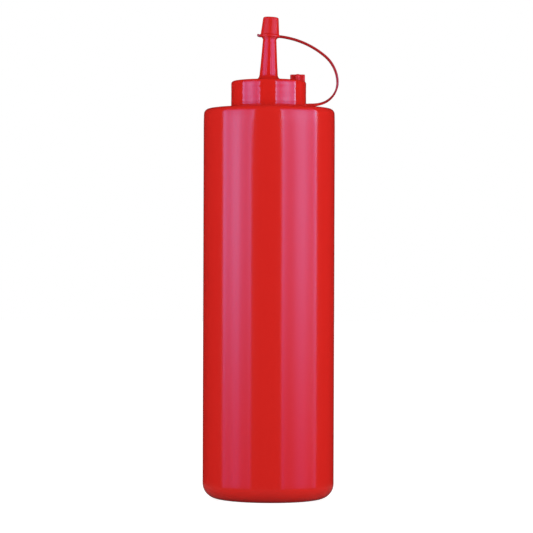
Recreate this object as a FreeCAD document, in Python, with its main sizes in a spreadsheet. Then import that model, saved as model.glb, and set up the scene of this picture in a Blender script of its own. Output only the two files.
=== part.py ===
import FreeCAD, Part
import math
import os
import Sketcher

# A squeeze bottle of low-density polyethylene, shut, standing on its base.
# Three mouldings: the blown bottle, the screw closure with its nozzle, and the
# tether, which joins a neck ring to the tip cap by a strap.
# Millimetres, +Z up, origin at the centre of the base, strap towards +X.

os.makedirs("parts", exist_ok=True)
doc = FreeCAD.newDocument("SqueezeBottle")


# ---------------------------------------------------------------- dimensions
sheet = doc.addObject("Spreadsheet::Sheet", "sizes")
rows_used = 0


def dimension(alias, value, meaning):
    """One row of the sheet: what it is, and its value under an alias."""
    global rows_used
    rows_used += 1
    sheet.set(f"A{rows_used}", meaning)
    sheet.set(f"B{rows_used}", str(value))
    sheet.setAlias(f"B{rows_used}", alias)


dimension("body_radius", 35, "bottle, outside radius of the straight side")
dimension("base_round", 8, "bottle, rounding between base and side")
dimension("stand_radius", 24.5, "bottle, inner radius of the ring it stands on")
dimension("push_up_radius", 21, "bottle, radius of the raised floor")
dimension("push_up", 2, "bottle, height of the raised floor")
dimension("shoulder_height", 207.6, "bottle, where side and shoulder would meet")
dimension("shoulder_round", 3.15, "bottle, rounding between side and shoulder")
dimension("shoulder_slope", 4, "bottle, rise of the shoulder in degrees")
dimension("land_radius", 20.6, "bottle, radius of the flat under the neck ring")
dimension("land_height", 208.7, "bottle, height of that flat")
dimension("neck_radius", 17.2, "bottle, outside radius of the neck")
dimension("neck_top", 219.5, "bottle, height of the neck's rim")

dimension("cap_radius", 20, "closure, outside radius")
dimension("cap_foot", 210.65, "closure, height of its lower edge")
dimension("cap_top", 222.5, "closure, height of the top's edge")
dimension("cap_round", 1.8, "closure, rounding of the top's edge")
dimension("crown_rise", 1.45, "closure, rise of its shallow cone of a top")
dimension("neck_gap", 0.5, "closure and neck ring, radial clearance to the neck")
dimension("closure_offset", -0.36, "closure and neck ring, how far they sit over along X")
dimension("nozzle_lean", 1.5, "nozzle, lean towards the strap in degrees")
dimension("nozzle_foot_offset", -0.45, "nozzle, offset of its foot along X")
dimension("nozzle_foot_radius", 5.2, "nozzle, radius of its root inside the closure's top")
dimension("nozzle_tip_radius", 3.05, "nozzle, radius at its end")
dimension("nozzle_length", 29.8, "nozzle, length above the closure's top")
dimension("nozzle_knee_radius", 4.42, "nozzle, radius where its steeper foot ends")
dimension("nozzle_knee", 8, "nozzle, length of the steeper foot")
dimension("nozzle_flare", 2.6, "nozzle, rounding at its foot")
dimension("stub_offset", 15.05, "parking stub, distance of its middle along X")
dimension("stub_radius", 3.95, "parking stub, reach of its ribs from its middle")
dimension("stub_rib", 2, "parking stub, thickness of its two crossing ribs")
dimension("stub_top", 226.4, "parking stub, height of its end")
dimension("stub_round", 0.4, "parking stub, rounding of its rim")

dimension("ring_radius", 20, "neck ring, outside radius, flush with the closure")
dimension("tip_lean", 3.3, "tip cap, lean towards the strap in degrees")
dimension("tip_offset", 0.2, "tip cap, offset of its flange along X")
dimension("tip_height", 246.9, "tip cap, height of the flange's middle")
dimension("tip_length", 9.9, "tip cap, from the flange's middle to the top")
dimension("tip_foot_radius", 4.95, "tip cap, radius just above the flange")
dimension("tip_top_radius", 4.1, "tip cap, radius at the top")
dimension("tip_round", 1, "tip cap, rounding of its top edge")
dimension("flange_radius", 5.5, "flange, outside radius")
dimension("flange_thickness", 1.1, "flange and lift tab, thickness")
dimension("skirt_length", 1.6, "skirt under the flange, from the flange's middle")
dimension("skirt_radius", 3.9, "skirt, radius at its lower edge")
dimension("skirt_flare", 0.35, "skirt, extra radius at the flange")
dimension("socket_radius", 3.72, "socket for the nozzle, radius at its mouth")
dimension("socket_end_radius", 3.42, "socket, radius at its end")
dimension("socket_depth", 7.2, "socket, from the flange's middle to its end")
dimension("tab_reach", 6.8, "lift tab, from the tip cap's axis to its end")
dimension("tab_width", 3, "lift tab, width")

dimension("strap_width", 3, "strap, width along Y")
dimension("strap_thickness", 1.3, "strap, thickness")
dimension("strap_start", 18.2, "strap, where its straight root starts, inside the ring")
dimension("strap_root", 3.4, "strap, length of the straight root")
dimension("bend_1_radius", 21.5, "strap, first bend")
dimension("bend_1_sweep", 17.3, "strap, first bend in degrees")
dimension("bend_2_radius", 11.9, "strap, second bend, the tightest")
dimension("bend_2_sweep", 76, "strap, second bend in degrees")
dimension("bend_3_radius", 18.7, "strap, third bend")
dimension("bend_3_sweep", 45.7, "strap, third bend in degrees")
dimension("bend_4_radius", 44.2, "strap, last bend, into the flange")
dimension("bend_4_sweep", 35.8, "strap, last bend in degrees")
doc.recompute()


# ------------------------------------------------------------------- helpers
def new_body(label):
    """A PartDesign body whose Label names its file."""
    body = doc.addObject("PartDesign::Body", label)
    body.Label = label
    body.Placement = FreeCAD.Placement()
    return body


def new_sketch(body, name, role):
    """A sketch on one of the body's own origin planes, found by its role."""
    plane = next(p for p in body.Origin.OriginFeatures if p.Role == role)
    sketch = body.newObject("Sketcher::SketchObject", name)
    sketch.AttachmentSupport = [(plane, "")]
    sketch.MapMode = "FlatFace"
    return sketch


def hold_point(sketch, edge, end, x, y):
    """Hold one end of an edge at two expressions; 0 puts it on the sketch's axis."""
    for kind, text, axis in (("DistanceX", x, -2), ("DistanceY", y, -1)):
        if text == "0":
            sketch.addConstraint(Sketcher.Constraint("PointOnObject", edge, end, axis))
            continue
        value = float(sketch.evalExpression(text))
        number = sketch.addConstraint(Sketcher.Constraint(kind, -1, 1, edge, end, value))
        sketch.setExpression(f"Constraints[{number}]", text)


def closed_outline(sketch, corners):
    """A closed outline of straight sides through corners, pairs of expressions."""
    spots = [FreeCAD.Vector(float(sketch.evalExpression(x)), float(sketch.evalExpression(y)), 0)
             for x, y in corners]
    count = len(spots)
    for i, spot in enumerate(spots):
        sketch.addGeometry(Part.LineSegment(spot, spots[(i + 1) % count]), False)
    for i in range(count):
        sketch.addConstraint(Sketcher.Constraint("Coincident", i, 2, (i + 1) % count, 1))
    for i, (x, y) in enumerate(corners):
        hold_point(sketch, i, 1, x, y)


def circle(sketch, radius, x="0"):
    """A circle of a given radius expression, its centre on the sketch's X axis."""
    centre = FreeCAD.Vector(float(sketch.evalExpression(x)), 0, 0)
    size = float(sketch.evalExpression(radius))
    edge = sketch.addGeometry(Part.Circle(centre, FreeCAD.Vector(0, 0, 1), size), False)
    number = sketch.addConstraint(Sketcher.Constraint("Radius", edge, size))
    sketch.setExpression(f"Constraints[{number}]", radius)
    hold_point(sketch, edge, 3, x, "0")


def slot(sketch, start, end, radius):
    """A slot along the sketch's X axis: two centres and a radius, as expressions."""
    left = FreeCAD.Vector(float(sketch.evalExpression(start)), 0, 0)
    right = FreeCAD.Vector(float(sketch.evalExpression(end)), 0, 0)
    half = float(sketch.evalExpression(radius))
    up = FreeCAD.Vector(0, half, 0)
    normal = FreeCAD.Vector(0, 0, 1)
    quarter = math.pi / 2
    sketch.addGeometry(Part.ArcOfCircle(Part.Circle(left, normal, half), quarter, 3 * quarter), False)
    sketch.addGeometry(Part.ArcOfCircle(Part.Circle(right, normal, half), -quarter, quarter), False)
    sketch.addGeometry(Part.LineSegment(left - up, right - up), False)
    sketch.addGeometry(Part.LineSegment(right + up, left + up), False)
    for before, after in ((0, 2), (2, 1), (1, 3), (3, 0)):
        sketch.addConstraint(Sketcher.Constraint("Tangent", before, 2, after, 1))
    sketch.addConstraint(Sketcher.Constraint("Equal", 0, 1))
    number = sketch.addConstraint(Sketcher.Constraint("Radius", 0, half))
    sketch.setExpression(f"Constraints[{number}]", radius)
    hold_point(sketch, 0, 3, start, "0")
    hold_point(sketch, 1, 3, end, "0")


def revolve(body, name, sketch, kind="PartDesign::Revolution"):
    """A full turn of a sketch about its own vertical axis."""
    turned = body.newObject(kind, name)
    turned.Profile = sketch
    turned.ReferenceAxis = (sketch, ["V_Axis"])
    turned.Angle = 360
    sketch.Visibility = False
    doc.recompute()
    return turned


def pad(body, name, sketch, length):
    """A pad of a sketch along its normal, as long as an expression says."""
    padded = body.newObject("PartDesign::Pad", name)
    padded.Profile = sketch
    padded.setExpression("Length", length)
    sketch.Visibility = False
    doc.recompute()
    return padded


def round_edges(body, name, before, radius, wanted):
    """Round those edges of the feature before that the test wanted picks out."""
    names = [f"Edge{i + 1}" for i, edge in enumerate(before.Shape.Edges) if wanted(edge)]
    rounded = body.newObject("PartDesign::Fillet", name)
    rounded.Base = (before, names)
    rounded.setExpression("Radius", radius)
    doc.recompute()
    return rounded


def ring_at(radius, height, x=0.0):
    """Picks the level circular edges of one radius and height about X = x."""
    def wanted(edge):
        box = edge.BoundBox
        level = abs(box.ZMin - height) < 0.02 and abs(box.ZMax - height) < 0.02
        round_about = abs(box.XMax - x - radius) < 0.02 and abs(x - box.XMin - radius) < 0.02
        return level and round_about
    return wanted


def size(alias):
    """The present value of one dimension."""
    return float(sheet.get(alias))


# -------------------------------------------------------------------- bottle
# A plain blown cylinder: a standing ring round a raised floor, a generous
# rounding at the base, a tight one at the shoulder, and a neck under the closure.
bottle = new_body("bottle")
side = new_sketch(bottle, "bottle_outline", "XZ_Plane")
shoulder = "sizes.shoulder_height + (sizes.body_radius - sizes.land_radius) * tan(sizes.shoulder_slope)"
closed_outline(side, [
    ("0", "sizes.push_up"),
    ("sizes.push_up_radius", "sizes.push_up"),
    ("sizes.stand_radius", "0"),
    ("sizes.body_radius", "0"),
    ("sizes.body_radius", "sizes.shoulder_height"),
    ("sizes.land_radius", shoulder),
    ("sizes.land_radius", "sizes.land_height"),
    ("sizes.neck_radius", "sizes.land_height"),
    ("sizes.neck_radius", "sizes.neck_top"),
    ("0", "sizes.neck_top"),
])
blown = revolve(bottle, "bottle_turned", side)
based = round_edges(bottle, "base_rounded", blown, "sizes.base_round",
                    ring_at(size("body_radius"), 0))
round_edges(bottle, "shoulder_rounded", based, "sizes.shoulder_round",
            ring_at(size("body_radius"), size("shoulder_height")))


# ------------------------------------------------------------------- closure
# A screw cap over the neck, its top rising slightly to a tapered nozzle, with
# a stub of two crossing ribs beside the nozzle that parks the tip cap.
closure = new_body("closure")
cap = new_sketch(closure, "cap_outline", "XZ_Plane")
cap.setExpression(".AttachmentOffset.Base.x", "sizes.closure_offset")
cup = "sizes.neck_radius + sizes.neck_gap"
closed_outline(cap, [
    (cup, "sizes.cap_foot"),
    ("sizes.cap_radius", "sizes.cap_foot"),
    ("sizes.cap_radius", "sizes.cap_top"),
    ("0", "sizes.cap_top + sizes.crown_rise"),
    ("0", "sizes.neck_top"),
    (cup, "sizes.neck_top"),
])
turned_cap = revolve(closure, "cap_turned", cap)
round_edges(closure, "cap_rounded", turned_cap, "sizes.cap_round",
            ring_at(size("cap_radius"), size("cap_top"), size("closure_offset")))

rib_reach = "sizes.stub_radius - sizes.stub_rib / 2"
for name, turn in (("rib_across", 0), ("rib_along", 90)):
    rib = new_sketch(closure, name, "XY_Plane")
    rib.AttachmentOffset = FreeCAD.Placement(
        FreeCAD.Vector(), FreeCAD.Rotation(FreeCAD.Vector(0, 0, 1), turn))
    rib.setExpression(".AttachmentOffset.Base.x", "sizes.stub_offset")
    rib.setExpression(".AttachmentOffset.Base.z", "sizes.neck_top + sizes.cap_round")
    slot(rib, f"-({rib_reach})", rib_reach, "sizes.stub_rib / 2")
    raised = pad(closure, f"{name}_raised", rib,
                 "sizes.stub_top - sizes.neck_top - sizes.cap_round")
round_edges(closure, "stub_rounded", raised, "sizes.stub_round",
            lambda edge: edge.BoundBox.ZMin > size("stub_top") - size("stub_round"))

nozzle = new_sketch(closure, "nozzle_outline", "XZ_Plane")
upright = FreeCAD.Rotation(FreeCAD.Vector(0, 0, 1), -size("nozzle_lean"))
nozzle.AttachmentOffset = FreeCAD.Placement(FreeCAD.Vector(), upright)
nozzle.setExpression(".AttachmentOffset.Base.x", "sizes.nozzle_foot_offset")
nozzle.setExpression(".AttachmentOffset.Base.y", "sizes.cap_top + sizes.crown_rise")
closed_outline(nozzle, [
    ("0", "-sizes.cap_round"),
    ("sizes.nozzle_foot_radius", "-sizes.cap_round"),
    ("sizes.nozzle_knee_radius", "sizes.nozzle_knee"),
    ("sizes.nozzle_tip_radius", "sizes.nozzle_length"),
    ("0", "sizes.nozzle_length"),
])
drawn = revolve(closure, "nozzle_turned", nozzle)


def nozzle_foot(edge):
    """Picks the closed edge where the leaning nozzle leaves the closure's top."""
    box = edge.BoundBox
    low = size("cap_top") < box.ZMin and box.ZMax < size("cap_top") + size("crown_rise")
    return low and box.XMin < 0 and box.XMax < size("stub_offset") - size("stub_radius")


round_edges(closure, "nozzle_flared", drawn, "sizes.nozzle_flare", nozzle_foot)


# -------------------------------------------------------------------- tether
# One moulding: a ring held between shoulder and closure, a strap that springs
# out, round and over, and the tip cap with its flange, lift tab and socket.
tether = new_body("tip_cap_tether")
ring = new_sketch(tether, "ring_outline", "XY_Plane")
ring.setExpression(".AttachmentOffset.Base.x", "sizes.closure_offset")
ring.setExpression(".AttachmentOffset.Base.z", "sizes.land_height")
circle(ring, "sizes.ring_radius")
circle(ring, "sizes.neck_radius + sizes.neck_gap")
pad(tether, "ring_raised", ring, "sizes.cap_foot - sizes.land_height")

# The strap's route: a straight root level with the ring, then four bends, each
# tangent to the one before, up and back over to the flange.
route = new_sketch(tether, "strap_route", "XZ_Plane")
level = "sizes.cap_foot - sizes.strap_thickness / 2"
start = FreeCAD.Vector(size("strap_start"), float(route.evalExpression(level)), 0)
spot = start + FreeCAD.Vector(size("strap_root"), 0, 0)
root = route.addGeometry(Part.LineSegment(start, spot), False)
hold_point(route, root, 1, "sizes.strap_start", level)
route.addConstraint(Sketcher.Constraint("Horizontal", root))
number = route.addConstraint(Sketcher.Constraint("Distance", root, size("strap_root")))
route.setExpression(f"Constraints[{number}]", "sizes.strap_root")
heading = 0
for bend in range(1, 5):
    radius = size(f"bend_{bend}_radius")
    sweep = size(f"bend_{bend}_sweep")
    towards = FreeCAD.Vector(-math.sin(math.radians(heading)), math.cos(math.radians(heading)), 0)
    centre = spot + towards * radius
    whole = Part.Circle(centre, FreeCAD.Vector(0, 0, 1), radius)
    arc = Part.ArcOfCircle(whole, math.radians(heading - 90), math.radians(heading - 90 + sweep))
    edge = route.addGeometry(arc, False)
    route.addConstraint(Sketcher.Constraint("Tangent", edge - 1, 2, edge, 1))
    number = route.addConstraint(Sketcher.Constraint("Radius", edge, radius))
    route.setExpression(f"Constraints[{number}]", f"sizes.bend_{bend}_radius")
    number = route.addConstraint(Sketcher.Constraint("Angle", edge, math.radians(sweep)))
    route.setExpression(f"Constraints[{number}]", f"sizes.bend_{bend}_sweep")
    heading += sweep
    spot = arc.EndPoint

section = new_sketch(tether, "strap_section", "YZ_Plane")
section.setExpression(".AttachmentOffset.Base.z", "sizes.strap_start")
section.setExpression(".AttachmentOffset.Base.y", level)
half_flat = "(sizes.strap_width - sizes.strap_thickness) / 2"
slot(section, f"-{half_flat}", half_flat, "sizes.strap_thickness / 2")
strap = tether.newObject("PartDesign::AdditivePipe", "strap_swept")
strap.Profile = section
strap.Spine = (route, [f"Edge{i}" for i in range(1, 6)])
doc.recompute()


def lean_tip(sketch):
    """Sets an upright sketch on the tip cap's own leaning axis, at the flange."""
    turn = FreeCAD.Rotation(FreeCAD.Vector(0, 0, 1), -size("tip_lean"))
    sketch.AttachmentOffset = FreeCAD.Placement(FreeCAD.Vector(), turn)
    sketch.setExpression(".AttachmentOffset.Base.x", "sizes.tip_offset")
    sketch.setExpression(".AttachmentOffset.Base.y", "sizes.tip_height")


half_flange = "sizes.flange_thickness / 2"
tip = new_sketch(tether, "tip_outline", "XZ_Plane")
lean_tip(tip)
closed_outline(tip, [
    ("0", "-sizes.skirt_length"),
    ("sizes.skirt_radius", "-sizes.skirt_length"),
    ("sizes.skirt_radius + sizes.skirt_flare", f"-{half_flange}"),
    ("sizes.flange_radius", f"-{half_flange}"),
    ("sizes.flange_radius", half_flange),
    ("sizes.tip_foot_radius", half_flange),
    ("sizes.tip_top_radius", "sizes.tip_length"),
    ("0", "sizes.tip_length"),
])
turned_tip = revolve(tether, "tip_turned", tip)
top_of_tip = size("tip_height") + size("tip_length") - size("tip_top_radius") / 4
round_edges(tether, "tip_rounded", turned_tip, "sizes.tip_round",
            lambda edge: edge.BoundBox.ZMin > top_of_tip)

tab = new_sketch(tether, "tab_outline", "XY_Plane")
tab.AttachmentOffset = FreeCAD.Placement(
    FreeCAD.Vector(), FreeCAD.Rotation(FreeCAD.Vector(0, 1, 0), size("tip_lean")))
tab.setExpression(".AttachmentOffset.Base.x", "sizes.tip_offset")
tab.setExpression(".AttachmentOffset.Base.z", "sizes.tip_height")
circle(tab, "sizes.tab_width / 2", "sizes.tab_width / 2 - sizes.tab_reach")
eared = pad(tether, "tab_raised", tab, "sizes.flange_thickness")
eared.Midplane = True

socket = new_sketch(tether, "socket_outline", "XZ_Plane")
lean_tip(socket)
closed_outline(socket, [
    ("0", "-sizes.skirt_length - sizes.tip_round"),
    ("sizes.socket_radius", "-sizes.skirt_length - sizes.tip_round"),
    ("sizes.socket_radius", "-sizes.skirt_length"),
    ("sizes.socket_end_radius", "sizes.socket_depth"),
    ("0", "sizes.socket_depth"),
])
revolve(tether, "socket_cut", socket, "PartDesign::Groove")


# -------------------------------------------------------------- check, write
doc.recompute()
for item in doc.Objects:
    if "Invalid" in item.State or "Error" in item.State:
        raise RuntimeError(f"{item.Name} did not recompute: {item.State}")
for body in (bottle, closure, tether):
    if body.Shape.isNull() or not body.Shape.isValid() or len(body.Shape.Solids) != 1:
        raise RuntimeError(f"{body.Label} is not one valid solid")
    body.Shape.exportStep(f"parts/{body.Label}.step")
    print(body.Label, round(body.Shape.Volume), "mm3")
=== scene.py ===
import math
import bmesh
import bpy
from mathutils import Matrix, Vector


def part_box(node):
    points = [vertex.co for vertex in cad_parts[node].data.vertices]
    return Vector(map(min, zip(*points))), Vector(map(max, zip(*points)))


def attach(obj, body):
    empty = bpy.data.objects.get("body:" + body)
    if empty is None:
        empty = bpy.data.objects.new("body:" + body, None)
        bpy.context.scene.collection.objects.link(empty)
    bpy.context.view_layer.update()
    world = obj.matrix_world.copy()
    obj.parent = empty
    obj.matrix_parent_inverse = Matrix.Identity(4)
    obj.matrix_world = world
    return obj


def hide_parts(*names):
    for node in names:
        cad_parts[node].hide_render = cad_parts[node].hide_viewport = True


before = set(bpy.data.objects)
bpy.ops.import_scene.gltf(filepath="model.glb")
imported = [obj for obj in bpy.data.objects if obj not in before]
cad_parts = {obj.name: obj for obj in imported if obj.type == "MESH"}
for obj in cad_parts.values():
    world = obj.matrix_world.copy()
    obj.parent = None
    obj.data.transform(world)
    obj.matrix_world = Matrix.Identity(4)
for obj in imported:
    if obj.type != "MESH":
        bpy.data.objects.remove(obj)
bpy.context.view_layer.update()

MM = 0.001
scene = bpy.context.scene
scene.view_settings.view_transform = "Standard"

# --------------------------------------------------------------------- camera
# A long lens, level with the middle of the bottle and turned two degrees off
# square to the plane that the strap loops in, with a shift that brings the bottle
# back to the middle. It is rolled a hair, so the bottle stands a hair off upright.
camera_data = bpy.data.cameras.new("camera")
camera_data.lens = 158.7
camera_data.shift_x = 0.1541
camera = bpy.data.objects.new("camera", camera_data)
camera.location = Vector((-1.24, -1256, 123.5)) * MM
camera.rotation_euler = (math.radians(90), math.radians(-0.19), math.radians(2))
scene.collection.objects.link(camera)
scene.camera = camera


# --------------------------------------------------------------------- bottle
# The body is one blow moulding of low-density polyethylene, coloured right
# through. Blowing leaves a plain cylinder with a soft gloss, a wall that is not
# quite even, a fine line where the mould closed and a pinched seam underneath.
body_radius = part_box("bottle")[1].x / MM
neck_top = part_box("bottle")[1].z / MM
base_round = 8
stand_radius = 24.5
stand_round = 1.5
push_up_radius = 21
push_up = 2
shoulder_height = 207.6
shoulder_round = 2.9
shoulder_slope = math.radians(4)
shoulder_draft = 0.25
shoulder_run = 6
shoulder_ease = 150
land_radius = 20.6
land_height = 208.7
land_round = 0.04
neck_radius = 17.2
wall_wander = 0.03
bottle_wander_size = 40
bottle_spacing = 3


def rounded(corners, step=7.5):
    """Points in millimetres of a line through corners (x, y, radius of rounding)."""
    points = []
    for i, (x, y, radius) in enumerate(corners):
        here = Vector((x, y))
        if not radius or i in (0, len(corners) - 1):
            points.append(here)
            continue
        back = (Vector(corners[i - 1][:2]) - here).normalized()
        on = (Vector(corners[i + 1][:2]) - here).normalized()
        opening = back.angle(on)
        turn = math.pi - opening
        reach = radius / math.tan(opening / 2)
        centre = here + (back + on).normalized() * (radius / math.sin(opening / 2))
        first = here + back * reach - centre
        way = 1 if first.cross(here + on * reach - centre) > 0 else -1
        steps = max(2, math.ceil(math.degrees(turn) / step))
        for k in range(steps + 1):
            points.append(centre + Matrix.Rotation(way * turn * k / steps, 2) @ first)
    return points


def divided(points, longest):
    """The same line with every run cut into pieces no longer than longest."""
    line = [points[0]]
    for before, after in zip(points, points[1:]):
        pieces = max(1, math.ceil((after - before).length / longest))
        line += [before.lerp(after, k / pieces) for k in range(1, pieces + 1)]
    return line


def add(tree, kind, inputs=None, **settings):
    """Adds a node, with settings on the node and values or links on its inputs."""
    node = tree.nodes.new(kind)
    for name, value in settings.items():
        setattr(node, name, value)
    for name, value in (inputs or {}).items():
        if isinstance(value, bpy.types.NodeSocket):
            tree.links.new(value, node.inputs[name])
        else:
            node.inputs[name].default_value = value
    return node


def turned_tree():
    """Turns an outline round the Z axis, then lets the wall wander and ripple a little.

    Both only ever sink the wall, so the piece stays inside its outline.
    """
    spindle_radius = 1e-6
    pole_gap = 5e-6
    fade = 4 * MM
    tree = bpy.data.node_groups.new("turned wall", "GeometryNodeTree")
    sockets = (
        ("Outline", "Geometry"), ("Steps round", "Int"), ("Wall foot", "Float"),
        ("Wall head", "Float"), ("Wander", "Float"), ("Wander size", "Float"),
        ("Ripple", "Float"), ("Ripple pitch", "Float"), ("Seed", "Float"),
        ("Material", "Material"))
    for name, kind in sockets:
        tree.interface.new_socket(name=name, in_out="INPUT", socket_type="NodeSocket" + kind)
    tree.interface.new_socket(name="Mesh", in_out="OUTPUT", socket_type="NodeSocketGeometry")
    given = add(tree, "NodeGroupInput").outputs
    line = add(tree, "GeometryNodeMeshToCurve", {"Mesh": given["Outline"]})
    spindle = add(tree, "GeometryNodeCurvePrimitiveCircle",
                  {"Resolution": given["Steps round"], "Radius": spindle_radius})
    wall = add(tree, "GeometryNodeCurveToMesh",
               {"Curve": spindle.outputs["Curve"], "Profile Curve": line.outputs["Curve"]})
    closed = add(tree, "GeometryNodeMergeByDistance",
                 {"Geometry": wall.outputs["Mesh"], "Distance": pole_gap})
    place = add(tree, "GeometryNodeInputPosition").outputs["Position"]
    axes = add(tree, "ShaderNodeSeparateXYZ", {"Vector": place}).outputs
    # the mask is 1 on the straight wall and fades out at its foot and its head
    low_end = add(tree, "ShaderNodeMath", {0: given["Wall foot"], 1: fade}, operation="ADD")
    low = add(tree, "ShaderNodeMapRange",
              {"Value": axes["Z"], "From Min": given["Wall foot"],
               "From Max": low_end.outputs[0]}, interpolation_type="SMOOTHSTEP")
    high_end = add(tree, "ShaderNodeMath", {0: given["Wall head"], 1: fade}, operation="SUBTRACT")
    high = add(tree, "ShaderNodeMapRange",
               {"Value": axes["Z"], "From Min": given["Wall head"],
                "From Max": high_end.outputs[0]}, interpolation_type="SMOOTHSTEP")
    mask = add(tree, "ShaderNodeMath",
               {0: low.outputs["Result"], 1: high.outputs["Result"]}, operation="MULTIPLY")
    scale = add(tree, "ShaderNodeMath", {0: 1.0, 1: given["Wander size"]}, operation="DIVIDE")
    noise = add(tree, "ShaderNodeTexNoise",
                {"Vector": place, "W": given["Seed"], "Scale": scale.outputs[0],
                 "Detail": 1.0, "Roughness": 0.4}, noise_dimensions="4D")
    wander = add(tree, "ShaderNodeMapRange",
                 {"Value": noise.outputs["Fac"], "From Min": 0.25, "From Max": 0.75,
                  "To Min": -1.0, "To Max": 0.0})
    wander = add(tree, "ShaderNodeMath",
                 {0: wander.outputs["Result"], 1: given["Wander"]}, operation="MULTIPLY")
    # a thread on the inside shows outside as a helix of faint sinks
    climb = add(tree, "ShaderNodeMath",
                {0: axes["Z"], 1: given["Ripple pitch"]}, operation="DIVIDE")
    climb = add(tree, "ShaderNodeMath",
                {0: climb.outputs[0], 1: 2 * math.pi}, operation="MULTIPLY")
    around = add(tree, "ShaderNodeMath", {0: axes["Y"], 1: axes["X"]}, operation="ARCTAN2")
    phase = add(tree, "ShaderNodeMath",
                {0: climb.outputs[0], 1: around.outputs[0]}, operation="SUBTRACT")
    wave = add(tree, "ShaderNodeMath", {0: phase.outputs[0]}, operation="SINE")
    wave = add(tree, "ShaderNodeMath", {0: wave.outputs[0], 1: -1.0}, operation="ADD")
    ripple = add(tree, "ShaderNodeMath",
                 {0: wave.outputs[0], 1: given["Ripple"]}, operation="MULTIPLY")
    both = add(tree, "ShaderNodeMath",
               {0: wander.outputs[0], 1: ripple.outputs[0]}, operation="ADD")
    depth = add(tree, "ShaderNodeMath",
                {0: both.outputs[0], 1: mask.outputs[0]}, operation="MULTIPLY")
    flat = add(tree, "ShaderNodeCombineXYZ", {"X": axes["X"], "Y": axes["Y"]})
    outwards = add(tree, "ShaderNodeVectorMath", {0: flat.outputs[0]}, operation="NORMALIZE")
    shift = add(tree, "ShaderNodeVectorMath",
                {0: outwards.outputs[0], "Scale": depth.outputs[0]}, operation="SCALE")
    moved = add(tree, "GeometryNodeSetPosition",
                {"Geometry": closed.outputs["Geometry"], "Offset": shift.outputs[0]})
    smooth = add(tree, "GeometryNodeSetShadeSmooth", {"Geometry": moved.outputs["Geometry"]})
    real = add(tree, "GeometryNodeRealizeInstances", {"Geometry": smooth.outputs["Geometry"]})
    dressed = add(tree, "GeometryNodeSetMaterial",
                  {"Geometry": real.outputs["Geometry"], "Material": given["Material"]})
    add(tree, "NodeGroupOutput", {"Mesh": dressed.outputs["Geometry"]})
    return tree


def swept_tree():
    """Sweeps a rounded band along a path whose points carry its thickness."""
    tree = bpy.data.node_groups.new("swept band", "GeometryNodeTree")
    sockets = (("Path", "Geometry"), ("Width", "Float"), ("Thickness", "Float"),
               ("Edge", "Float"), ("Spacing", "Float"), ("Material", "Material"))
    for name, kind in sockets:
        tree.interface.new_socket(name=name, in_out="INPUT", socket_type="NodeSocket" + kind)
    tree.interface.new_socket(name="Mesh", in_out="OUTPUT", socket_type="NodeSocketGeometry")
    given = add(tree, "NodeGroupInput").outputs
    path = add(tree, "GeometryNodeMeshToCurve", {"Mesh": given["Path"]})
    path = add(tree, "GeometryNodeResampleCurve",
               {"Curve": path.outputs["Curve"], "Length": given["Spacing"]}, mode="LENGTH")
    place = add(tree, "GeometryNodeInputPosition").outputs["Position"]
    kept = add(tree, "GeometryNodeCaptureAttribute", {"Geometry": path.outputs["Curve"]})
    kept.capture_items.new("VECTOR", "Centre")
    tree.links.new(place, kept.inputs["Centre"])
    band = add(tree, "GeometryNodeCurvePrimitiveQuadrilateral",
               {"Width": given["Width"], "Height": given["Thickness"]})
    band = add(tree, "GeometryNodeFilletCurve",
               {"Curve": band.outputs["Curve"], "Radius": given["Edge"], "Count": 5,
                "Limit Radius": True}, mode="POLY")
    swept = add(tree, "GeometryNodeCurveToMesh",
                {"Curve": kept.outputs["Geometry"], "Profile Curve": band.outputs["Curve"],
                 "Fill Caps": True})
    # the band's width lies along Y, so its thickness is scaled in X and Z alone
    share = add(tree, "GeometryNodeInputNamedAttribute", {"Name": "thickness"}, data_type="FLOAT")
    offset = add(tree, "ShaderNodeVectorMath",
                 {0: place, 1: kept.outputs["Centre"]}, operation="SUBTRACT")
    wanted = add(tree, "ShaderNodeVectorMath",
                 {0: offset.outputs[0], "Scale": share.outputs["Attribute"]}, operation="SCALE")
    parts = add(tree, "ShaderNodeSeparateXYZ", {"Vector": wanted.outputs[0]}).outputs
    old = add(tree, "ShaderNodeSeparateXYZ", {"Vector": offset.outputs[0]}).outputs
    rebuilt = add(tree, "ShaderNodeCombineXYZ", {"X": parts["X"], "Y": old["Y"], "Z": parts["Z"]})
    position = add(tree, "ShaderNodeVectorMath",
                   {0: kept.outputs["Centre"], 1: rebuilt.outputs[0]}, operation="ADD")
    moved = add(tree, "GeometryNodeSetPosition",
                {"Geometry": swept.outputs["Mesh"], "Position": position.outputs[0]})
    smooth = add(tree, "GeometryNodeSetShadeSmooth", {"Geometry": moved.outputs["Geometry"]})
    real = add(tree, "GeometryNodeRealizeInstances", {"Geometry": smooth.outputs["Geometry"]})
    dressed = add(tree, "GeometryNodeSetMaterial",
                  {"Geometry": real.outputs["Geometry"], "Material": given["Material"]})
    add(tree, "NodeGroupOutput", {"Mesh": dressed.outputs["Geometry"]})
    return tree


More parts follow.
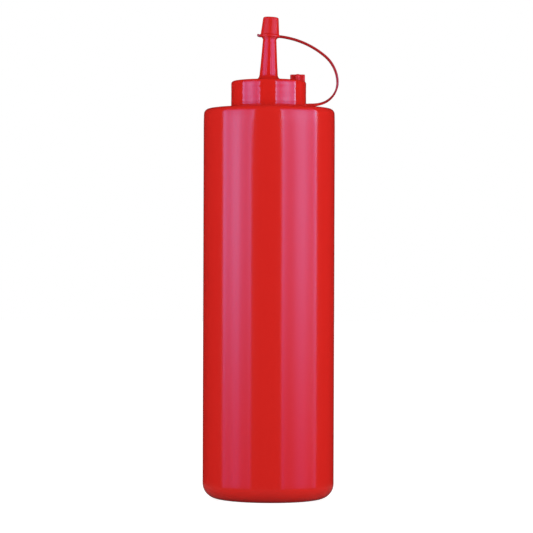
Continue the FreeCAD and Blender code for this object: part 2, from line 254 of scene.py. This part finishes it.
def made_by(tree, name, points, values, **along):
    """A plain closed mesh that a tree makes from a line of points in metres.

    along gives named values that the line carries, one for each point.
    """
    line = bpy.data.meshes.new(name + " line")
    line.from_pydata(points, [(i, i + 1) for i in range(len(points) - 1)], [])
    for key, levels in along.items():
        line.attributes.new(key, "FLOAT", "POINT").data.foreach_set("value", levels)
    source = bpy.data.objects.new(name + " line", line)
    scene.collection.objects.link(source)
    modifier = source.modifiers.new("made", "NODES")
    modifier.node_group = tree
    for socket in tree.interface.items_tree:
        if socket.in_out == "INPUT" and socket.name in values:
            modifier[socket.identifier] = values[socket.name]
    graph = bpy.context.evaluated_depsgraph_get()
    mesh = bpy.data.meshes.new_from_object(source.evaluated_get(graph))
    bpy.data.objects.remove(source)
    mesh.name = name
    shape = bmesh.new()
    shape.from_mesh(mesh)
    bmesh.ops.recalc_face_normals(shape, faces=shape.faces)
    shape.to_mesh(mesh)
    shape.free()
    piece = bpy.data.objects.new(name, mesh)
    scene.collection.objects.link(piece)
    return piece


turned_wall = turned_tree()
swept_band = swept_tree()


def turned(name, outline, material, **values):
    """A piece of revolution from an outline of (radius, height) in millimetres.

    values are the tree's other inputs, with lengths in metres. The sweep turns the
    outline's Y axis down, so the heights go in with their sign changed.
    """
    points = [(p.x * MM, -p.y * MM, 0) for p in outline]
    given = {"Steps round": 192, "Wall foot": 0.0, "Wall head": 0.0, "Wander": 0.0,
             "Wander size": 1.0, "Ripple": 0.0, "Ripple pitch": 1.0, "Seed": 0.0,
             "Material": material}
    given.update({key.replace("_", " ").capitalize(): value for key, value in values.items()})
    return made_by(turned_wall, name, points, given)


def linear(code):
    """An sRGB hex colour as linear RGBA."""
    parts = [int(code[i:i + 2], 16) / 255 for i in (1, 3, 5)]
    return (*(c / 12.92 if c <= 0.04045 else ((c + 0.055) / 1.055) ** 2.4 for c in parts), 1)


def moulded_ldpe(name, colour, roughness, grain_mm, grain_depth_mm, gloss=0.5):
    """Low-density polyethylene as it leaves a polished steel mould.

    A waxy dielectric: the colour is in the plastic, the gloss is soft but clear,
    and a very fine orange-peel breaks up the edges of what it reflects. The peel's
    bumps are about a millimetre wide and a few thousandths of a millimetre high.
    """
    material = bpy.data.materials.new(name)
    material.use_nodes = True
    tree = material.node_tree
    shader = tree.nodes["Principled BSDF"]
    shader.inputs["Base Color"].default_value = linear(colour)
    shader.inputs["Roughness"].default_value = roughness
    shader.inputs["IOR"].default_value = 1.51
    shader.inputs["Specular IOR Level"].default_value = gloss
    place = add(tree, "ShaderNodeTexCoord").outputs["Object"]
    grain = add(tree, "ShaderNodeTexNoise",
                {"Vector": place, "Scale": 1 / (grain_mm * MM), "Detail": 2.0})
    bump = add(tree, "ShaderNodeBump",
               {"Height": grain.outputs["Fac"], "Strength": 1.0, "Distance": grain_depth_mm * MM})
    tree.links.new(bump.outputs["Normal"], shader.inputs["Normal"])
    return material


# blown against polished steel by air alone, so its gloss is a little blurred
blown_ldpe = moulded_ldpe("blow-moulded LDPE", "#d3221c", roughness=0.14,
                          grain_mm=1.2, grain_depth_mm=0.004)

shoulder_rise = (body_radius - land_radius) * math.tan(shoulder_slope)
wall_corners = [
    (body_radius, 0, base_round),
    (body_radius, shoulder_height - shoulder_run, shoulder_ease),
    (body_radius - shoulder_draft, shoulder_height, shoulder_round),
]
bottle = turned(
    "bottle_blown",
    divided(rounded([
        (0, push_up, 0),
        (push_up_radius, push_up, stand_round),
        (stand_radius, 0, stand_round),
        *wall_corners,
        (land_radius, shoulder_height + shoulder_rise, land_round),
        (land_radius, land_height, land_round),
        (neck_radius, land_height, 0),
        (neck_radius, neck_top, 0),
        (0, neck_top, 0),
    ]), bottle_spacing),
    blown_ldpe, steps_round=256, wall_foot=base_round * MM,
    wall_head=(shoulder_height - shoulder_run) * MM,
    wander=wall_wander * MM, wander_size=bottle_wander_size * MM)
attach(bottle, "root")
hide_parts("bottle")

# where the two halves of the mould met: a hair of plastic down each side, sunk in
# until its outer face is level with the wall's outline. It runs from a few points
# up the base's rounding to just short of the land
seam_width = 0.35
seam_depth = 0.14
seam_edge = 0.05
seam_spacing = 1.0
seam_end_gap = 0.5
points_skipped = 3
side = rounded([
    (stand_radius + 1, 0, 0),
    *wall_corners,
    (land_radius + seam_end_gap, shoulder_height + shoulder_rise, 0),
])[points_skipped:]
for name, way in (("parting_line_left", -1), ("parting_line_right", 1)):
    seam = made_by(
        swept_band, name, [Vector((way * (p.x - seam_depth / 2), 0, p.y)) * MM for p in side],
        {"Width": seam_width * MM, "Thickness": seam_depth * MM, "Edge": seam_edge * MM,
         "Spacing": seam_spacing * MM, "Material": blown_ldpe},
        thickness=[1.0] * len(side))
    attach(seam, "root")
    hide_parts("bottle")

# the thick seam that the mould pinched shut in the hollow of the base, which runs
# out thin at both ends
pinch_half = 19
pinch_full_half = 18
pinch_width = 1.4
pinch_thickness = 1.2
pinch_edge = 0.5
pinch_spacing = 0.5
pinch_end = 0.3
pinch = made_by(
    swept_band, "pinched_seam",
    [Vector((x, 0, push_up)) * MM
     for x in (-pinch_half, -pinch_full_half, 0, pinch_full_half, pinch_half)],
    {"Width": pinch_width * MM, "Thickness": pinch_thickness * MM, "Edge": pinch_edge * MM,
     "Spacing": pinch_spacing * MM, "Material": blown_ldpe},
    thickness=[pinch_end, 1.0, 1.0, 1.0, pinch_end])
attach(pinch, "root")
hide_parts("bottle")


# -------------------------------------------------------------------- closure
# The closure is an injection moulding in the same plastic, screwed on to the neck:
# a cap whose top rises to a long tapered nozzle. Its thread shows outside as
# faint sinks.
cap_radius = 20
cap_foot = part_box("closure")[0].z / MM
closure_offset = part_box("closure")[0].x / MM + cap_radius
cap_top = 222.5
cap_round = 1.55
mouth_round = 0.2
foot_round = 0.05
crown_rise = 1.45
neck_gap = 0.5
nozzle_lean = math.radians(1.5)
nozzle_foot_offset = -0.45
nozzle_flare = 2.6
nozzle_length = 29.8
nozzle_knee = 8
nozzle_knee_radius = 4.42
nozzle_knee_ease = 200
nozzle_tip_radius = 3.05
nozzle_tip_round = 0.3
nozzle_root_radius = 5.085
closure_wander_size = 9
closure_spacing = 0.6
sink_half_depth = 0.012
thread_pitch = 3.6

# packed hard against polished steel, so its gloss is the sharpest on the bottle
injected_ldpe = moulded_ldpe("injection-moulded LDPE", "#d3221c", roughness=0.08,
                             grain_mm=0.9, grain_depth_mm=0.002)

crown = cap_top + crown_rise
crown_foot = cap_top + crown_rise * (1 - nozzle_root_radius / cap_radius)
closure = turned(
    "screw_cap_and_nozzle",
    divided(rounded([
        (0, neck_top, 0),
        (neck_radius + neck_gap, neck_top, 0),
        (neck_radius + neck_gap, cap_foot, mouth_round),
        (cap_radius, cap_foot, foot_round),
        (cap_radius, cap_top, cap_round),
        (nozzle_root_radius, crown_foot, nozzle_flare),
        (nozzle_knee_radius, crown + nozzle_knee, nozzle_knee_ease),
        (nozzle_tip_radius, crown + nozzle_length, nozzle_tip_round),
        (0, crown + nozzle_length, 0),
    ]), closure_spacing),
    injected_ldpe, wall_foot=cap_foot * MM, wall_head=(cap_top - cap_round) * MM,
    wander=wall_wander * MM, wander_size=closure_wander_size * MM,
    ripple=sink_half_depth * MM, ripple_pitch=thread_pitch * MM, seed=3.0)

# the closure sits over to one side, and its nozzle leans back towards the strap
for vertex in closure.data.vertices:
    height = vertex.co.z / MM - crown
    inner = math.hypot(vertex.co.x, vertex.co.y) / MM < cap_radius / 2
    vertex.co.x += closure_offset * MM
    if height > -crown_rise and inner:
        vertex.co.x += (nozzle_foot_offset - closure_offset + math.tan(nozzle_lean) * height) * MM
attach(closure, "root")
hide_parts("closure")

# ---------------------------------------------------------------- parking stub
# A short post of two crossing ribs on the closure's rim, moulded in one with
# it. The tip cap is pushed on to the post while the bottle is in use.
stub_offset = 15.05
stub_reach = 3.95
stub_rib = 2.0
stub_top = 226.2
stub_round = 0.4
rib_end_steps = 12
inside_steps = 4
smooth_up_to = math.radians(40)

# small parts leave the mould a little duller, with a broader, weaker gleam
matt_ldpe = moulded_ldpe("injection-moulded LDPE, matt", "#d1211f", roughness=0.2,
                         grain_mm=0.6, grain_depth_mm=0.004, gloss=0.28)

# each quarter of the cross is a half round rib end and a rounded inside corner
inside = stub_rib / 2 + stub_round
outline = []
for quarter in range(4):
    turn = Matrix.Rotation(math.pi / 2 * quarter, 2)
    for k in range(rib_end_steps + 1):
        angle = math.pi * (k / rib_end_steps - 0.5)
        outline.append(turn @ Vector((stub_reach - stub_rib / 2 * (1 - math.cos(angle)),
                                      stub_rib / 2 * math.sin(angle))))
    for k in range(inside_steps + 1):
        angle = math.pi / 2 * k / inside_steps
        outline.append(turn @ Vector((inside - stub_round * math.sin(angle),
                                      inside - stub_round * math.cos(angle))))
post = bpy.data.meshes.new("parking_stub")
shape = bmesh.new()
foot = [shape.verts.new(((p.x + stub_offset) * MM, p.y * MM, (cap_top - cap_round) * MM))
        for p in outline]
raised = bmesh.ops.extrude_face_region(shape, geom=[shape.faces.new(foot)])["geom"]
top_points = [part for part in raised if isinstance(part, bmesh.types.BMVert)]
bmesh.ops.translate(shape, verts=top_points,
                    vec=(0, 0, (stub_top - cap_top + cap_round) * MM))
rim = [edge for edge in shape.edges if all(point in top_points for point in edge.verts)]
bmesh.ops.bevel(shape, geom=rim, offset=stub_round * MM, segments=3, affect="EDGES", profile=0.5)
bmesh.ops.recalc_face_normals(shape, faces=shape.faces)
shape.to_mesh(post)
shape.free()
post.materials.append(matt_ldpe)
post.shade_smooth()
post.set_sharp_from_angle(angle=smooth_up_to)
stub = bpy.data.objects.new("parking_stub", post)
scene.collection.objects.link(stub)
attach(stub, "root")
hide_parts("closure")

# ------------------------------------------------------------------- neck ring
# The tether is one flexible injection moulding in the same plastic. Its ring is
# trapped between the bottle's shoulder and the closure, and flares at its foot.
ring_radius = 20
ring_flare = 0.45
ring_flare_height = 0.6
ring_flare_round = 0.8
ring_edge = 0.05
neck_ring = turned(
    "neck_ring",
    rounded([
        (neck_radius + neck_gap, cap_foot, 0),
        (neck_radius + neck_gap, land_height, 0),
        (ring_radius + ring_flare, land_height, ring_edge),
        (ring_radius, land_height + ring_flare_height, ring_flare_round),
        (ring_radius, cap_foot, ring_edge),
        (neck_radius + neck_gap, cap_foot, 0),
    ]),
    injected_ldpe)
neck_ring.data.transform(Matrix.Translation((closure_offset * MM, 0, 0)))
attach(neck_ring, "root")
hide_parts("tip_cap_tether")

# ----------------------------------------------------------------------- strap
# The tether's strap is a narrow band, moulded in one with the ring and bent up
# and over. It springs out in bends that tighten beside the closure, where it is
# also thinnest, and open out again towards the nozzle.
strap_width = 3
strap_thickness = 1.3
strap_edge = 0.5
strap_spacing = 0.7
strap_start = 18.18
strap_root = 3.7
strap_drop = 0.14
root_dip = 0.15
root_share = 1.3
bend_steps = 16
# each bend is an arc: its radius, how far it turns in degrees and the share of the
# full thickness that it ends with
strap_bends = (
    (21.9, 15.2, 1.0), (11.84, 29, 0.92), (11.84, 25, 0.82), (11.84, 11, 0.97),
    (11.8, 14.2, 1.0), (19.1, 45.5, 1.0), (45.3, 34.4, 1.04))

root_height = cap_foot - strap_drop - strap_thickness / 2
route = [Vector((strap_start, 0, root_height - root_dip)),
         Vector((strap_start + strap_root, 0, root_height))]
shares = [root_share, root_share]
heading = 0
for bend_radius, sweep, end_share in strap_bends:
    inwards = Vector((-math.sin(math.radians(heading)), 0, math.cos(math.radians(heading))))
    centre = route[-1] + inwards * bend_radius
    start_share = shares[-1]
    for k in range(1, bend_steps + 1):
        angle = math.radians(heading + sweep * k / bend_steps)
        route.append(centre + Vector((math.sin(angle), 0, -math.cos(angle))) * bend_radius)
        shares.append(start_share + (end_share - start_share) * k / bend_steps)
    heading += sweep

# a softer gloss than the ring's. The strap is the ring's own plastic, but its red is darkened to
# paint shade on the thin band. At the root, below the closure's foot, it is lightened to paint the
# light that falls there. 6 and 7 are a Mix node's two colours
painted_shade_red = "#a91a1d"
painted_light_red = "#e02a24"
root_light_low = cap_foot - 0.35
root_light_high = cap_foot + 0.45
strap_ldpe_painted_shade = moulded_ldpe("injection-moulded LDPE, strap, painted shade and light", painted_shade_red, roughness=0.22,
                          grain_mm=0.6, grain_depth_mm=0.004, gloss=0.7)
tree = strap_ldpe_painted_shade.node_tree
# painted light: the lighter red at the root fades into the painted-shade red upwards over the
# closure's foot
place = add(tree, "ShaderNodeTexCoord").outputs["Object"]
height = add(tree, "ShaderNodeSeparateXYZ", {"Vector": place}).outputs["Z"]
above = add(tree, "ShaderNodeMapRange",
            {"Value": height, "From Min": root_light_low * MM, "From Max": root_light_high * MM})
painted_light_mix = add(tree, "ShaderNodeMix",
           {"Factor": above.outputs["Result"], 6: linear(painted_light_red), 7: linear(painted_shade_red)},
           data_type="RGBA")
tree.links.new(painted_light_mix.outputs[2], tree.nodes["Principled BSDF"].inputs["Base Color"])

strap = made_by(
    swept_band, "strap", [p * MM for p in route],
    {"Width": strap_width * MM, "Thickness": strap_thickness * MM,
     "Edge": strap_edge * MM, "Spacing": strap_spacing * MM, "Material": strap_ldpe_painted_shade},
    thickness=shares)
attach(strap, "root")
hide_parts("tip_cap_tether")

# --------------------------------------------------------------------- tip cap
# The other end of the tether, moulded in one with the strap: a small tapered cap
# pushed over the nozzle, with a flange at its mouth, a short skirt under it and a
# tab to lift it by. Its heights are from the middle of the flange.
tip_lean = math.radians(3.3)
tip_place = Vector((0.2, 0, 246.9))
tip_length = 9.9
tip_foot_radius = 4.95
tip_foot_round = 0.3
tip_top_radius = 4.1
tip_top_round = 1.0
flange_radius = 5.5
flange_half = 0.55
flange_top_round = 0.5
flange_under = 0.8
flange_under_round = 0.3
skirt_length = 1.6
skirt_radius = 4.1
skirt_round = 0.2
skirt_flare = 0.1
skirt_root_round = 0.1
socket_radius = 3.72
socket_mouth_round = 0.08
socket_end_radius = 3.42
socket_end_round = 0.3
socket_depth = 7.2
tab_reach = 6.8
tab_width = 3
tab_drop = 0.2
tab_bite = 1
tab_round = 0.35
tab_curl = 0.35
tab_end_steps = 16

tip_cap = turned(
    "tip_cap",
    divided(rounded([
        (0, socket_depth, 0),
        (socket_end_radius, socket_depth, socket_end_round),
        (socket_radius, -skirt_length, socket_mouth_round),
        (skirt_radius, -skirt_length, skirt_round),
        (skirt_radius + skirt_flare, -flange_under, skirt_root_round),
        (flange_radius, -flange_under, flange_under_round),
        (flange_radius, flange_half, flange_top_round),
        (tip_foot_radius, flange_half, tip_foot_round),
        (tip_top_radius, tip_length, tip_top_round),
        (0, tip_length, 0),
    ]), closure_spacing),
    matt_ldpe, steps_round=96)

# the tab is a rounded paddle that starts inside the cap's wall and curls up
# towards its end, from a cut across it at the flange's edge
tab_root = tab_bite - tip_foot_radius
tab_foot = -flange_under - tab_drop
paddle = []
for k in range(tab_end_steps + 1):
    angle = math.pi * (k / tab_end_steps + 0.5)
    paddle.append(Vector((tab_width / 2 - tab_reach, 0))
                  + Vector((math.cos(angle), math.sin(angle))) * tab_width / 2)
paddle += [Vector((tab_root, -tab_width / 2)), Vector((tab_root, tab_width / 2))]
tab = bpy.data.meshes.new("lift_tab")
shape = bmesh.new()
underside = shape.faces.new([shape.verts.new((p.x, p.y, tab_foot)) for p in paddle])
raised = bmesh.ops.extrude_face_region(shape, geom=[underside])["geom"]
bmesh.ops.translate(shape, vec=(0, 0, flange_half + flange_under),
                    verts=[part for part in raised if isinstance(part, bmesh.types.BMVert)])
# the faces are turned outwards here, while the tab is still a plain block: done
# after the bevel, this would turn them inwards
bmesh.ops.recalc_face_normals(shape, faces=shape.faces)
bmesh.ops.bevel(shape, geom=shape.edges[:], offset=tab_round, segments=4,
                affect="EDGES", profile=0.5)
bmesh.ops.bisect_plane(shape, geom=shape.verts[:] + shape.edges[:] + shape.faces[:],
                       plane_co=(-flange_radius, 0, 0), plane_no=(1, 0, 0))
for point in shape.verts:
    beyond = (-flange_radius - point.co.x) / (tab_reach - flange_radius)
    point.co.z += tab_curl * max(0, beyond)
bmesh.ops.scale(shape, vec=(MM, MM, MM), verts=shape.verts)
shape.to_mesh(tab)
shape.free()
# the strap's material, so the tab too is painted the strap's darker red as painted shade
tab.materials.append(strap_ldpe_painted_shade)
tab.shade_smooth()
tab.set_sharp_from_angle(angle=smooth_up_to)
lift_tab = bpy.data.objects.new("lift_tab", tab)
scene.collection.objects.link(lift_tab)

for piece in (tip_cap, lift_tab):
    piece.data.transform(Matrix.Translation(tip_place * MM) @ Matrix.Rotation(tip_lean, 4, "Y"))
    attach(piece, "root")
    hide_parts("tip_cap_tether")


# ----------------------------------------------------------- floor and lights
# A plain white floor that runs out of sight, and two tall curved softboxes in
# front of the bottle, one on each side. Their cloth is brightest along the
# middle and the edges. Lengths here are in metres.
floor_half = 4
paper_glow = 0.86
near_radius = 0.075
far_radius = 0.11
near_clear = 0.62
floor_mesh = bpy.data.meshes.new("floor")
floor_mesh.from_pydata(
    [(x * floor_half, y * floor_half, 0) for x, y in ((-1, -1), (1, -1), (1, 1), (-1, 1))],
    [], [(0, 1, 2, 3)])
floor = bpy.data.objects.new("floor", floor_mesh)
scene.collection.objects.link(floor)
# matt paper that also glows for the camera, so that it is seen as plain white. At
# this strength the glow drowns the bottle's shadow as well
paper = bpy.data.materials.new("white paper")
paper.use_nodes = True
tree = paper.node_tree
tree.nodes.remove(tree.nodes["Principled BSDF"])
seen = add(tree, "ShaderNodeLightPath").outputs["Is Camera Ray"]
matt = add(tree, "ShaderNodeBsdfDiffuse", {"Color": linear("#bcbcbc")})
white = add(tree, "ShaderNodeMath", {0: seen, 1: paper_glow}, operation="MULTIPLY")
white = add(tree, "ShaderNodeEmission", {"Strength": white.outputs[0]})
mixed = add(tree, "ShaderNodeAddShader", {0: matt.outputs[0], 1: white.outputs[0]})
# the bottle's gloss sees the paper faintly close by, and beyond it sees through the
# paper to the foot of the softboxes
place = add(tree, "ShaderNodeTexCoord").outputs["Object"]
reach = add(tree, "ShaderNodeVectorMath", {0: place}, operation="LENGTH")
clear = add(tree, "ShaderNodeMapRange",
            {"Value": reach.outputs["Value"], "From Min": near_radius, "From Max": far_radius,
             "To Min": near_clear, "To Max": 1.0})
mirrored = add(tree, "ShaderNodeLightPath").outputs["Is Glossy Ray"]
clear = add(tree, "ShaderNodeMath", {0: clear.outputs["Result"], 1: mirrored}, operation="MULTIPLY")
through = add(tree, "ShaderNodeBsdfTransparent")
mixed = add(tree, "ShaderNodeMixShader",
            {0: clear.outputs[0], 1: mixed.outputs[0], 2: through.outputs[0]})
tree.links.new(mixed.outputs[0], tree.nodes["Material Output"].inputs["Surface"])
floor_mesh.materials.append(paper)

# the room is white to the camera, an even fill light on the bottle, and all but
# dark in its gloss, where the softboxes show
fill_level = 0.49
mirrored_share = 0.02
world = bpy.data.worlds.new("studio")
scene.world = world
world.use_nodes = True
tree = world.node_tree
rays = add(tree, "ShaderNodeLightPath").outputs
fill = add(tree, "ShaderNodeMapRange",
           {"Value": rays["Is Camera Ray"], "To Min": fill_level, "To Max": 1.0})
dull = add(tree, "ShaderNodeMapRange",
           {"Value": rays["Is Glossy Ray"], "To Min": 1.0, "To Max": mirrored_share})
strength = add(tree, "ShaderNodeMath",
               {0: fill.outputs["Result"], 1: dull.outputs["Result"]}, operation="MULTIPLY")
tree.links.new(strength.outputs[0], tree.nodes["Background"].inputs["Strength"])
tree.nodes["Background"].inputs["Color"].default_value = (1, 1, 1, 1)

# the cloth sheds plain white light. The gleam that it makes in the gloss has its own
# strength and a cold tint, deeper where it is dim. 6 and 7 are a Mix node's colours
full_gleam = 10.0
cloth = bpy.data.materials.new("softbox cloth")
cloth.use_nodes = True
tree = cloth.node_tree
tree.nodes.remove(tree.nodes["Principled BSDF"])
glossy = add(tree, "ShaderNodeLightPath").outputs["Is Glossy Ray"]
plain = add(tree, "ShaderNodeAttribute", attribute_name="plain").outputs["Fac"]
glow = add(tree, "ShaderNodeAttribute", attribute_name="glow").outputs["Fac"]
soft = add(tree, "ShaderNodeEmission", {"Strength": plain})
share = add(tree, "ShaderNodeMath", {0: glow, 1: full_gleam}, operation="DIVIDE")
tint = add(tree, "ShaderNodeMix",
           {"Factor": share.outputs[0], 6: linear("#5d7eff"), 7: linear("#8fd0ff")},
           data_type="RGBA")
cold = add(tree, "ShaderNodeEmission", {"Color": tint.outputs[2], "Strength": glow})
mixed = add(tree, "ShaderNodeMixShader", {0: glossy, 1: soft.outputs[0], 2: cold.outputs[0]})
tree.links.new(mixed.outputs[0], tree.nodes["Material Output"].inputs["Surface"])


def smooth(value, low, high):
    """0 below low, 1 above high, and a soft step between them."""
    share = min(1, max(0, (value - low) / (high - low)))
    return share * share * (3 - 2 * share)


# how the cloth changes with height: each pair is where a soft step starts and ends.
# It reaches below the floor, where the lowest part of the wall mirrors it
cloth_distance = 0.9
cloth_foot = -0.14
cloth_step = 0.02
cloth_rows = 51
cloth_strips = 4
upper_part = (0.254, 0.272)
upper_spread = 0.035
foot_share = 0.28
foot_fade = (-0.07, 0.22)
head_drop = 0.4
head_fade = (0.29, 0.315)
top_drop = 0.4
top_start = 0.43
top_run = 0.15
# the light it sheds fades upwards, and is raised low down at the far sides, to
# light the foot of the wall
plain_fade = (0.33, 0.83)
side_rise = 2.2
side_bearings = (70, 88)
side_height = 0.12


def softbox(name, plain, turn, across):
    """A curved sheet of cloth from (bearing in degrees, gleam, gleam of its upper part).

    plain is the strength of the light it sheds, straight ahead and at 90 degrees, and
    gleam is what the gloss mirrors. The upper part, which the closure and the nozzle
    mirror, stands a little wider and is turned by so many degrees.
    """
    heights = [cloth_foot + cloth_step * k for k in range(cloth_rows)]
    bearings = []
    for (before, _, _), (after, _, _) in zip(across, across[1:]):
        bearings += [before + (after - before) * k / cloth_strips for k in range(cloth_strips)]
    bearings.append(across[-1][0])
    corners, gleams, levels = [], [], []
    for bearing in bearings:
        for before, after in zip(across, across[1:]):
            if before[0] <= bearing <= after[0]:
                share = (bearing - before[0]) / (after[0] - before[0])
                body, head = (a + (b - a) * share for a, b in zip(before[1:], after[1:]))
        for height in heights:
            upper = smooth(height, *upper_part)
            angle = math.radians(bearing + (upper_spread * bearing + turn) * upper)
            corners.append((cloth_distance * math.sin(angle),
                            -cloth_distance * math.cos(angle), height))
            gleam = body + (head - body) * upper
            low = foot_share + (1 - foot_share) * smooth(height, *foot_fade)
            top = min(1, max(0, (height - top_start) / top_run))
            high = 1 - head_drop * smooth(height, *head_fade) - top_drop * top
            gleams.append(gleam * low * high)
            level = plain[0] + (plain[1] - plain[0]) * abs(bearing) / 90
            rise = side_rise * smooth(abs(bearing), *side_bearings)
            level *= 1 + rise * (1 - smooth(height, 0, side_height))
            levels.append(level * (1 - smooth(height, *plain_fade)))
    faces = []
    for i in range(len(bearings) - 1):
        for k in range(cloth_rows - 1):
            here = i * cloth_rows + k
            beside = here + cloth_rows
            faces.append((here, beside, beside + 1, here + 1))
    mesh = bpy.data.meshes.new(name)
    mesh.from_pydata(corners, [], faces)
    mesh.attributes.new("glow", "FLOAT", "POINT").data.foreach_set("value", gleams)
    mesh.attributes.new("plain", "FLOAT", "POINT").data.foreach_set("value", levels)
    mesh.materials.append(cloth)
    sheet = bpy.data.objects.new(name, mesh)
    scene.collection.objects.link(sheet)
    sheet.visible_camera = False


softbox("left_softbox", (2.4, 3.84), 2.6, (
    (-86, 4.9, 6), (-83, 4.7, 5.8), (-77, 3.3, 3.8), (-70, 3.4, 4), (-66, 4.3, 4.8),
    (-62, 5.1, 5.5), (-53, 5.1, 5.6), (-50, 3.3, 4.9), (-44, 2.7, 3.7), (-39, 2.4, 3.1),
    (-34, 2.8, 3.2), (-33, 4.3, 4.6), (-30.5, 4.3, 4.8), (-30.4, 0, 4.8), (-29.4, 0, 7.5),
    (-27.4, 0, 7.5)))
softbox("right_softbox", (2.0, 4.44), -2.6, (
    (22.5, 5.2, 11), (24, 5.2, 11), (27, 3.1, 5), (35, 1.85, 3.7), (41, 2.1, 4.6),
    (47, 3.2, 5.9), (53, 4.2, 6.6), (59, 4.5, 6.9), (64, 4.3, 6.5), (71, 3, 4.8),
    (77, 2.2, 4.1), (81, 2.1, 4), (85, 2.9, 5.5), (87.5, 4.2, 10), (88.3, 6.5, 16),
    (89.8, 6.5, 16)))
